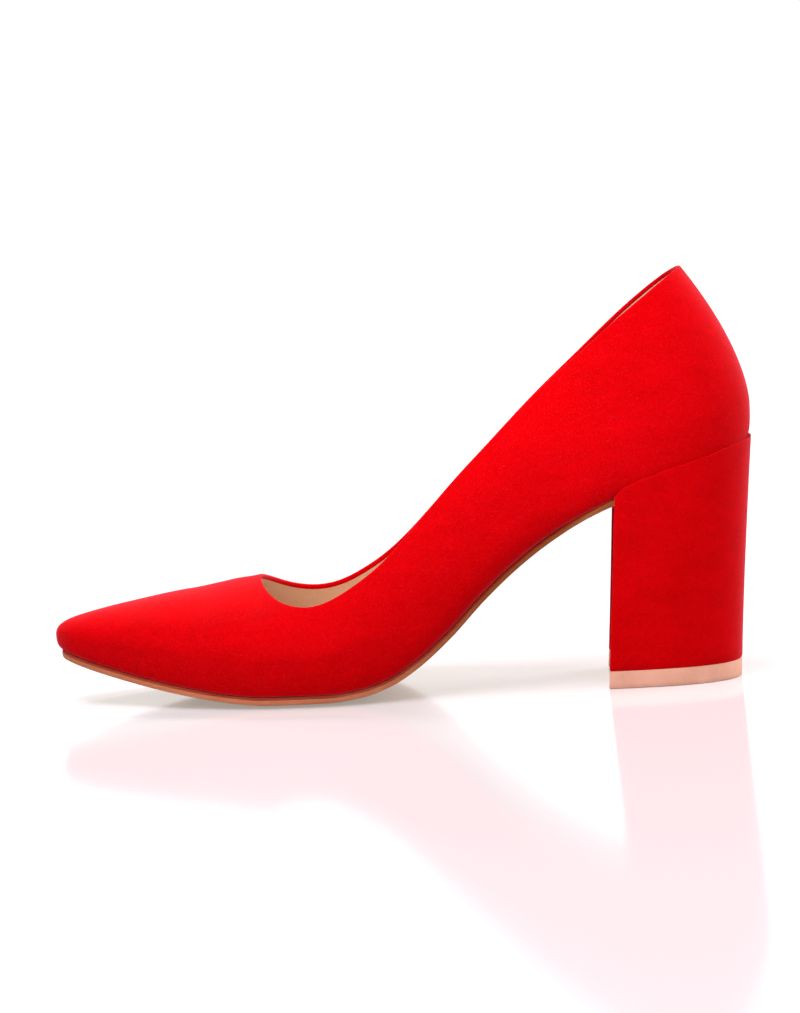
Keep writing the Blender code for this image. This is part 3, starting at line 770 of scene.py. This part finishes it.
def makeUpper():
    shape = upperShape
    edges, throatX = edgeBelowTopline(shape["foldRadius"])
    ribs = ribsRound(stations(throatX))
    marginReach = ribs["feather"] - np.linspace(last["margin"], last["roll"],
                                                shape["marginSteps"] + 1)[None, :-1]
    margin = placeOn(upperUnderside, ribs, marginReach)
    roll = place(ribs, *rollAt(ribs, np.arange(shape["rollSteps"])[None, :] / shape["rollSteps"]))
    wall = wallRows(ribs, edges, throatX, shape["wallSteps"])
    outside = np.concatenate([margin, roll, wall], axis=1)
    normals = gridNormals(outside)
    outside += normals * waveHeight(outside)[..., None]
    normals = gridNormals(outside)
    inside = outside - normals * shape["suedeThickness"]

    isOpen = reachesOpening(ribs, throatX)
    edge, normal, into = openingFrame(outside, normals, isOpen)
    turns = np.radians(np.linspace(0, shape["foldTurn"], shape["foldSteps"] + 1))
    radius = shape["foldRadius"]
    fold = [edge + radius * (into * math.sin(turn) - normal * (1 - math.cos(turn)))
            for turn in turns] + [inside[isOpen, -1]]
    fold = np.stack(fold, axis=1)

    skin = newShell(outside, inside, fold)
    return makePiece("upperSuede", skin, [upperRed], ["upper"], shape["sharpAngle"])


# Lining: plain leather against the suede's inner face

liningShape = {"wallSteps": 30, "rollSteps": 5, "rollFrom": 0.55, "edgeDepth": 1.45,
               "outsideAt": 0.86, "insideAt": 1.62,  # in from the upper's outer face
               "sharpAngle": 60}


def makeLining():
    shape = liningShape
    edges, throatX = edgeBelowTopline(shape["edgeDepth"])
    ribs = ribsRound(stations(throatX))
    rollShares = np.linspace(shape["rollFrom"], 1, shape["rollSteps"] + 1)[None, :-1]
    roll = place(ribs, *rollAt(ribs, rollShares))
    surface = np.concatenate([roll, wallRows(ribs, edges, throatX, shape["wallSteps"])], axis=1)
    normals = gridNormals(surface)
    outside, inside = surface - normals * shape["outsideAt"], surface - normals * shape["insideAt"]
    isOpen = reachesOpening(ribs, throatX)
    _, _, into = openingFrame(surface, normals, isOpen)
    middle = (outside + inside)[isOpen, -1] / 2 + into * (shape["insideAt"] - shape["outsideAt"]) / 2
    edge = np.stack([outside[isOpen, -1], middle, inside[isOpen, -1]], axis=1)
    skin = newShell(outside, inside, edge)
    return makePiece("liningLeather", skin, [liningNude], ["upper"], shape["sharpAngle"])


upperSuede = makeUpper()
liningLeather = makeLining()

# Insole with its sock, close against the lining

sockShape = {
    "clearance": 1.75,  # from the upper's outer face, so that it clears the lining
    "lift": 0.9, "liftWidth": 5.0, "lipDrop": 0.14,
    "topShares": (0, 0.25, 0.5, 0.7, 0.82, 0.9, 0.95, 0.98),
    "measuredAt": 0.9,  # of the way out to the feather line
    "lowShare": 0.75, "lowRise": 1.2, "underInset": 1.5, "underShares": (1.0, 0.5, 0.0),
    "rounds": 12, "leastCosine": 0.02, "leastHeight": 0.05, "sharpAngle": 40,
}


def liningReach(ribs, height):
    # how far out the lining's inner face is at a height over the upper's underside
    start = ribs["feather"] - last["roll"]
    width, tall = ribs["bulge"] - start, ribs["bulgeHeight"]
    power = last["rollSquareness"]
    at = height * np.ones(width.shape)
    for _ in range(sockShape["rounds"]):
        cosine = np.clip(1 - at / tall, sockShape["leastCosine"], 1)
        sine = (1 - cosine ** power) ** (1 / power)
        out, down = sine ** (power - 1) / width, cosine ** (power - 1) / tall
        length = np.hypot(out, down)
        at = np.maximum(height - sockShape["clearance"] * down / length, sockShape["leastHeight"])
    return start + width * sine - sockShape["clearance"] * out / length


def makeSock():
    shape = sockShape
    ribs = ribsRound(stations(last["throatX"]))
    x = ribX(ribs, ribs["feather"] * shape["measuredAt"])
    rise = insoleTop(x) - upperUnderside(x)
    edge = liningReach(ribs, rise + shape["lift"])
    reach = edge * np.array(shape["topShares"])[None, :]
    lift = shape["lift"] * np.clip(1 - (edge - reach) / shape["liftWidth"], 0, 1) ** 2
    top = placeOn(insoleTop, ribs, reach, lift)
    lip = placeOn(insoleTop, ribs, edge, shape["lift"] - shape["lipDrop"])
    low = liningReach(ribs, rise * shape["lowShare"])
    lowEdge = placeOn(insoleUnderside, ribs, low, shape["lowRise"])
    underReach = (low - shape["underInset"]) * np.array(shape["underShares"])[None, :]
    under = placeOn(insoleUnderside, ribs, underReach)
    skin = newSkin(np.concatenate([top, lip, lowEdge, under], axis=1))
    return makePiece("insoleSock", skin, [sockNude], ["insole"], shape["sharpAngle"])


insoleSock = makeSock()

# Heel: block, rim and hollow breast

heelShape = {
    "topPiece": 5.6, "cupGap": 0.4, "lip": 0.5, "rimLeastShare": 0.38, "rimMostShare": 0.9,
    "baseCentreX": 66.0, "baseBackX": 106.4, "baseHalfWidth": 23.5, "baseSquareness": 2.7,
    "flare": 1.2,
    "breastX": 62.5, "breastRake": 0.086, "hollow": 4.0, "cornerY": 28.0,
    "corner": 0.9, "cornerShares": (0.18, 0.36, 0.5, 0.64, 0.82), "cornerFrontX": 64.0,
    "fold": 1.75, "foldDrop": 0.35,  # suede folded round onto the breast
    "foldColumns": (-0.45, -0.05, 0.05, 0.5, 1.6),  # beside the fold's edge
    "plainColumn": 0.6,  # apart, where nothing is folded
    "sideColumns": 4, "fanColumns": 46, "breastColumns": 20, "wallSteps": 34, "firstStep": 0.008,
    "rimWave": (0.10, 0.06), "rimWaveStep": (2.9, 1.3),
    "rimRound": 0.42, "rimGroove": 0.6, "rimShares": (0.0, 0.25, 0.5, 0.75, 1.0),
    "lipGap": 0.03, "lipShare": 0.6, "lipFeather": 1.0, "breastLip": 1.0,
    "foot": 5.66, "footTurn": 0.012,  # suede turned under the block
    "cupCentreX": 82.0, "seatShares": (0.10, 0.3, 0.65, 1.0), "seatDrop": 0.05,
    "seatInset": 0.25, "seatMostShare": 0.97, "seatRounds": 3, "sharpAngle": 55,
}


def breastX(y, z):
    hollow = heelShape["hollow"] * (1 - (y / heelShape["cornerY"]) ** 2)
    return heelShape["breastX"] + heelShape["breastRake"] * z + hollow


def rimShare(ribs):
    shape = heelShape

    def below(share):
        reach, height = rollAt(ribs, share)
        x = ribX(ribs, reach)
        wavy = sum(size * np.sin(x / step + ribs["side"] * step)
                   for size, step in zip(shape["rimWave"], shape["rimWaveStep"]))
        return height < rimCurve(x) + wavy

    return crossing(ribs["axisX"].shape, shape["rimLeastShare"], shape["rimMostShare"], below)


def rimPoint(ribs, out=heelShape["cupGap"] + heelShape["lip"]):
    return besideRoll(ribs, rimShare(ribs), out)


def heelWall(axisX, turn, side, z):
    shape = heelShape
    ribs = makeRibs(axisX, turn, side)
    cosine, sine = powerArc(ribs["turn"] / quarterTurn, shape["baseSquareness"])
    length = shape["baseBackX"] - shape["baseCentreX"]
    baseX = shape["baseCentreX"] + length * sine + ribs["axisX"] - last["heelFanX"]
    baseY = ribs["side"] * shape["baseHalfWidth"] * cosine
    rim = rimPoint(ribs)
    share = np.clip(z / rim[..., 2], 0, None) ** shape["flare"]
    x = baseX + (rim[..., 0] - baseX) * share
    y = baseY + (rim[..., 1] - baseY) * share
    return np.stack(np.broadcast_arrays(x, y, z), -1)


def cornerStation(side, z=None):
    # the rib on which the wall meets the breast, at heights or at the rim
    def ahead(axisX):
        point = (rimPoint(makeRibs(axisX, 0.0, side)) if z is None
                 else heelWall(axisX, 0.0, side, z))
        return point[..., 0] <= breastX(point[..., 1], point[..., 2])

    return crossing(np.shape(z), heelShape["cornerFrontX"], last["heelFanX"], ahead)


def ribsThrough(x, y):
    # the ribs that pass through places in plan, and how far out on them the places are
    beyond = np.maximum(x - last["heelFanX"], 0)
    ribs = makeRibs(np.minimum(x, last["heelFanX"]), np.arctan2(beyond, np.abs(y)),
                    np.where(y < 0, inner, outer))
    return ribs, np.hypot(beyond, y)


def seatHeight(x, y):
    # the heel's seat: level under the foot, then up round the feather edge
    ribs, reach = ribsThrough(x, y)
    start = ribs["feather"] - last["roll"]
    share = np.clip((reach - start - heelShape["seatInset"]) / (ribs["bulge"] - start),
                    0, heelShape["seatMostShare"])
    power = last["rollSquareness"]
    return soleTop(x) + ribs["bulgeHeight"] * (1 - (1 - share ** power) ** (1 / power))


def bezier(first, corner, final, shares):
    return [(1 - q) ** 2 * first + 2 * q * (1 - q) * corner + q * q * final for q in shares]


def heelLoop(shares, low, high, corner, fold):
    # columns round the block: wall, rounded corners and breast. high None goes up to the rim.
    shape = heelShape
    rows = np.asarray(shares, float)[None, :]
    cornerTop, cornerLine, walls = {}, {}, {}
    for side in (inner, outer):
        topPoint = rimPoint(makeRibs(cornerStation(side), 0.0, side))
        cornerTop[side] = topPoint[2] if high is None else high
        z = low + (cornerTop[side] - low) * rows[0]
        station = cornerStation(side, z)
        cornerLine[side] = heelWall(station, 0.0, side, z)
        along = np.linspace(0, 1, shape["sideColumns"] + 1)[:-1][:, None]
        axisX = (station + corner)[None, :] * (1 - along) + last["heelFanX"] * along
        fan = quarterTurn * np.linspace(0, 1, shape["fanColumns"] + 1)[:, None]
        axisX = np.concatenate([axisX, np.full((len(fan), rows.shape[1]), last["heelFanX"])])
        turn = np.concatenate([np.zeros((len(along), 1)), fan]) * np.ones(rows.shape)
        top = (rimPoint(makeRibs(axisX[:, -1:], turn[:, -1:], side))[..., 2] if high is None
               else high)
        walls[side] = heelWall(axisX, turn, side, low + (top - low) * rows)

    columns = shape["foldColumns"]
    if fold:
        insets = [corner] + [fold + column for column in columns]
        drops = [0.0] + [shape["foldDrop"] if column > 0 else 0.0 for column in columns]
    else:
        insets = [corner + shape["plainColumn"] * i for i in range(len(columns) + 1)]
        drops = [0.0] * len(insets)
    outY, inY = cornerLine[outer][:, 1], cornerLine[inner][:, 1]
    middle = np.linspace(0, 1, shape["breastColumns"] + 2)[1:-1]
    ys = [outY - inset for inset in insets]
    ys += [(outY - insets[-1]) * (1 - m) + (inY + insets[-1]) * m for m in middle]
    ys += [inY + inset for inset in insets[::-1]]
    ys = np.array(ys)
    drop = np.array(drops + [drops[-1]] * len(middle) + drops[::-1])[:, None]
    top = high
    if high is None:
        across = (ys[:, -1:] - inY[-1]) / (outY[-1] - inY[-1])
        top = most = cornerTop[inner] * (1 - across) + cornerTop[outer] * across
        for _ in range(shape["seatRounds"]):
            top = np.minimum(most, seatHeight(breastX(ys[:, -1:], top), ys[:, -1:]))
    z = low + (top - low) * rows
    breast = np.stack(np.broadcast_arrays(breastX(ys, z) + drop, ys, z), -1)

    outerCorner = bezier(walls[outer][0], cornerLine[outer], breast[0], shape["cornerShares"])
    innerCorner = bezier(breast[-1], cornerLine[inner], walls[inner][0], shape["cornerShares"])
    return np.concatenate([walls[inner], walls[outer][-2::-1], outerCorner, breast, innerCorner])


def rimLips(loop):
    # the inner edge of the rim for every column: near the upper on the wall, inward on the breast
    top = loop[:, -1]
    ribs, reach = ribsThrough(top[:, 0], top[:, 1])
    onWall = reach > ribs["feather"] + heelShape["lipFeather"]
    lips = rimPoint(ribs, heelShape["lipGap"])
    lips[:, 2] = top[:, 2] - heelShape["rimGroove"]
    inward = top + np.array([heelShape["breastLip"], 0.0, 0.0])
    return np.where(onWall[:, None], lips, inward)


def makeHeel():
    shape = heelShape
    shares = np.concatenate([[0.0], np.linspace(shape["firstStep"], 1, shape["wallSteps"])])
    loop = heelLoop(shares, shape["foot"], None, shape["corner"], shape["fold"])
    centre = np.array([shape["cupCentreX"], 0.0, 0.0])
    loop[:, 0, :2] += (centre - loop[:, 0])[:, :2] * shape["footTurn"]
    top, lips = loop[:, -1].copy(), rimLips(loop)
    below = top + unit(loop[:, -2] - top) * shape["rimRound"]
    onLip = top + (lips - top) * shape["lipShare"]
    rim = bezier(below, top, onLip, shape["rimShares"])
    seat = []
    for share in shape["seatShares"]:
        ring = lips + (centre - lips) * share
        ring[:, 2] = np.minimum(seatHeight(ring[:, 0], ring[:, 1]) - shape["seatDrop"], lips[:, 2])
        seat.append(ring)
    seat[-1][:] = (centre[0], 0.0, float(seatHeight(centre[0], 0.0)) - shape["seatDrop"])
    rows = [loop[:, j] for j in range(loop.shape[1] - 1)] + rim + [lips] + seat
    under = np.tile([centre[0], 0.0, shape["foot"]], (len(loop), 1))
    skin = newSkin(np.stack([under] + rows, axis=1))
    return makePiece("heelCover", skin, [heelRed], ["heel"], shape["sharpAngle"])


heelCover = makeHeel()

# Top piece: the wearing layer under the heel

topPieceShape = {
    "corner": 0.7, "centreX": 84.0, "sharpAngle": 40,
    # height, and how far in from the line of the heel's wall
    "rows": ((0.0, 0.52), (0.12, 0.29), (0.4, 0.12), (1.6, 0.12), (2.8, 0.12), (4.0, 0.12),
             (5.25, 0.12), (5.5, 0.17), (5.6, 0.27)),
}


def makeTopPiece():
    shape = topPieceShape
    high = heelShape["topPiece"]
    heights, insets = columns(shape["rows"])
    loop = heelLoop(heights / high, 0.0, high, shape["corner"], None)
    for row, inset in enumerate(insets):
        line = loop[:, row]
        along = alongRing(line)
        outward = unit(np.stack([along[:, 1], -along[:, 0]], -1))
        line[:, :2] -= facing(outward, line[:, :2] - line[:, :2].mean(axis=0)) * inset
    low = np.tile([shape["centreX"], 0.0, 0.0], (len(loop), 1, 1))
    skin = newSkin(np.concatenate([low, loop, low + [0.0, 0.0, high]], axis=1))
    return makePiece("topPiece", skin, [topPiecePeach], ["top_piece"],
                     shape["sharpAngle"])


topPiece = makeTopPiece()

# Outsole: thin leather from toe to breast

soleShape = {
    "inset": 0.5, "bevel": 0.5, "flatShare": 0.5, "crownPower": 1.35, "lift": 0.20,
    "bevelIn": 0.15, "bevelDown": 0.35,  # the middle of the bevel
    "topBevelShare": 1 / 3,  # of the bevel below
    "underSteps": 7, "edgeShares": (0.0, 0.30, 0.62, 0.68, 0.84, 1.0), "swell": 0.12,
    "warpX": 50.0, "endX": 70.0, "endGap": 0.15, "sharpAngle": 40,
    # rows of a rib and their finish: underside, edge, then the edge's burnished top and the top
    "bands": ((0, 9, 2), (8, 13, 0), (12, 19, 1)),
}


def makeOutsole():
    shape = soleShape
    places = [spot for spot in stations(last["throatX"]) if spot[0] < shape["endX"]]
    places.append((shape["endX"], 0.0))
    axes, turns = columns(places)
    grids = []
    for side in (inner, outer):
        ribs = makeRibs(axes[:, None], turns[:, None], side)
        edge = ribs["feather"] - shape["inset"]
        bevel, topBevel = shape["bevel"], shape["bevel"] * shape["topBevelShare"]
        flat = shape["flatShare"] * edge
        shares = np.linspace(0, 1, shape["underSteps"])[None, :]
        underReach = np.concatenate([flat * 0, flat * 0.5, flat + (edge - bevel - flat) * shares], 1)
        crown = last["crown"] * np.concatenate([flat * 0, flat * 0,
                                                shares ** shape["crownPower"] + flat * 0], 1)
        under = placeOn(soleUnderside, ribs, underReach, crown)
        x = ribX(ribs, edge)
        low = soleUnderside(x) + last["crown"] + bevel
        high = soleTop(x) + shape["lift"] - topBevel
        rim = [place(ribs, edge - shape["bevelIn"], low - shape["bevelDown"])]
        for share in shape["edgeShares"]:
            out = edge + shape["swell"] * math.sin(math.pi * share)
            rim.append(place(ribs, out, low + (high - low) * share))
        topReach = np.concatenate([edge - topBevel, edge * 0.5, edge * 0], 1)
        top = placeOn(soleTop, ribs, topReach, shape["lift"])
        grid = np.concatenate([under] + rim + [top], axis=1)
        # the last stretch is drawn out or in, so that it ends square against the breast
        x = grid[..., 0]
        share = np.clip((x - shape["warpX"]) / (shape["endX"] - shape["warpX"]), 0, 1)
        end = breastX(grid[..., 1], grid[..., 2]) - shape["endGap"]
        grid[..., 0] = np.where(share > 0, shape["warpX"] + share * (end - shape["warpX"]), x)
        for j in range(grid.shape[1]):  # keeps the height of the place it moved to
            moved = share[:, j] > 0
            change = soleUnderside(grid[:, j, 0]) - soleUnderside(x[:, j])
            grid[moved, j, 2] += change[moved]
        grids.append(grid)
    skin = newSkin()
    for side, grid in zip((inner, outer), grids):
        for first, end, material in shape["bands"]:
            addGrid(skin, grid[:, first:end], False, material, side == inner)
    end = np.concatenate([grids[0][-1], grids[1][-1][::-1]])  # the cut against the breast
    ring = []
    for key in np.round(end * weldSteps).astype(int):
        vert = skin[1][tuple(key)]
        if vert not in ring:
            ring.append(vert)
    skin[0].faces.new(ring).material_index = 2
    return makePiece("outsoleLeather", skin, [soleEdgeTan, soleEdgeDark, soleBeige],
                     ["outsole"], shape["sharpAngle"])


outsoleLeather = makeOutsole()

# Floor, light and camera

studio = {
    "floorSize": 60.0, "floorColour": (0.46, 0.46, 0.52, 1), "floorRoughness": 0.10,
    "floorSpecular": 0.12, "floorGlow": (0.34, 0.29, 0.25, 1),  # warm, where shadow lies
    "world": 0.32, "worldSeen": 1.06,  # light on the shoe, and white behind and in gloss
    # name, from, angle, strength
    "suns": (("keyLight", (-0.10, -0.22, 0.97), 40.0, 3.15),
             ("frontLight", (0.05, -0.99, 0.08), 60.0, 0.66),
             ("backLight", (0.82, 0.42, 0.39), 35.0, 2.2)),
    # soft pools of light, each on one part: name, from, to, angle, watts
    "spots": (("quarterLight", (-0.25, -0.55, 0.40), (0.043, -0.028, 0.100), 12.5, 17.5),
              ("ridgeLight", (-0.16, 0.30, 0.36), (-0.075, 0.0, 0.036), 20.0, 7.5),
              ("lowLight", (-0.18, -0.55, 0.03), (-0.050, -0.03, 0.008), 20.0, 1.6)),
    "spotRadius": 0.06, "spotBlend": 1.0,
    "target": (0.0, -0.002, 0.058),
    "camera": (0.06615, -1.354, 0.2104), "roll": -2.9, "lens": 152.0, "sensor": 36.0,
    "clip": (0.05, 60.0), "hazeScale": 3.0, "hazeShare": 0.1,
}


def makeFloor():
    half = studio["floorSize"] / 2
    data = bpy.data.meshes.new("floor")
    data.from_pydata([(-half, -half, 0), (half, -half, 0), (half, half, 0), (-half, half, 0)],
                     [], [(0, 1, 2, 3)])
    floor = newObject("floor", data)
    material, tree, sockets = newMaterial("floorWhite")
    haze = noise(tree, objectPlace(tree), studio["hazeScale"], 3.0)
    rough, change = studio["floorRoughness"], studio["floorRoughness"] * studio["hazeShare"]
    seen = addNode(tree, "LightPath").outputs["Is Camera Ray"]
    fill(tree, sockets, {
        "Base Color": studio["floorColour"], "Specular IOR Level": studio["floorSpecular"],
        "Roughness": evenly(tree, haze, rough - change, rough + change),
        "Emission Color": studio["floorGlow"], "Emission Strength": seen})
    # seen from below, the floor lets the soles be seen
    seenAbove = tree.nodes["Principled BSDF"].outputs[0]
    below = addNode(tree, "NewGeometry").outputs["Backfacing"]
    clear = addNode(tree, "BsdfTransparent").outputs[0]
    mixed = addNode(tree, "MixShader", {0: below, 1: seenAbove, 2: clear})
    tree.links.new(mixed.outputs[0], tree.nodes["Material Output"].inputs["Surface"])
    data.materials.append(material)


def makeWorld():
    world = bpy.data.worlds.new("studioWhite")
    world.use_nodes = True
    bpy.context.scene.world = world
    tree = world.node_tree
    path = addNode(tree, "LightPath").outputs
    seen = maths(tree, "MAXIMUM", path["Is Camera Ray"], path["Is Glossy Ray"])
    fill(tree, tree.nodes["Background"].inputs, {
        "Color": (1, 1, 1, 1),
        "Strength": spread(tree, seen, 0.0, 1.0, studio["world"], studio["worldSeen"])})


def aimed(name, data, start, target, roll=0.0):
    thing = newObject(name, data)
    aim = (Vector(target) - Vector(start)).to_track_quat("-Z", "Y")
    thing.location = start
    thing.rotation_mode = "QUATERNION"
    thing.rotation_quaternion = aim @ Quaternion((0, 0, 1), math.radians(roll))
    return thing


def makeLights():
    for name, start, angle, strength in studio["suns"]:
        data = bpy.data.lights.new(name, "SUN")
        aimed(name, data, start, (0, 0, 0))
        data.energy, data.angle = strength, math.radians(angle)
    for name, start, target, angle, watts in studio["spots"]:
        data = bpy.data.lights.new(name, "SPOT")
        aimed(name, data, start, target)
        data.energy, data.shadow_soft_size = watts, studio["spotRadius"]
        data.spot_size, data.spot_blend = math.radians(angle), studio["spotBlend"]


def makeCamera():
    data = bpy.data.cameras.new("camera")
    data.lens, data.sensor_width, data.sensor_fit = studio["lens"], studio["sensor"], "AUTO"
    data.clip_start, data.clip_end = studio["clip"]
    bpy.context.scene.camera = aimed("camera", data, studio["camera"], studio["target"],
                                     studio["roll"])


makeFloor()
makeWorld()
makeLights()
makeCamera()
bpy.context.scene.view_settings.view_transform = "Standard"
print("set the floor, light and camera")
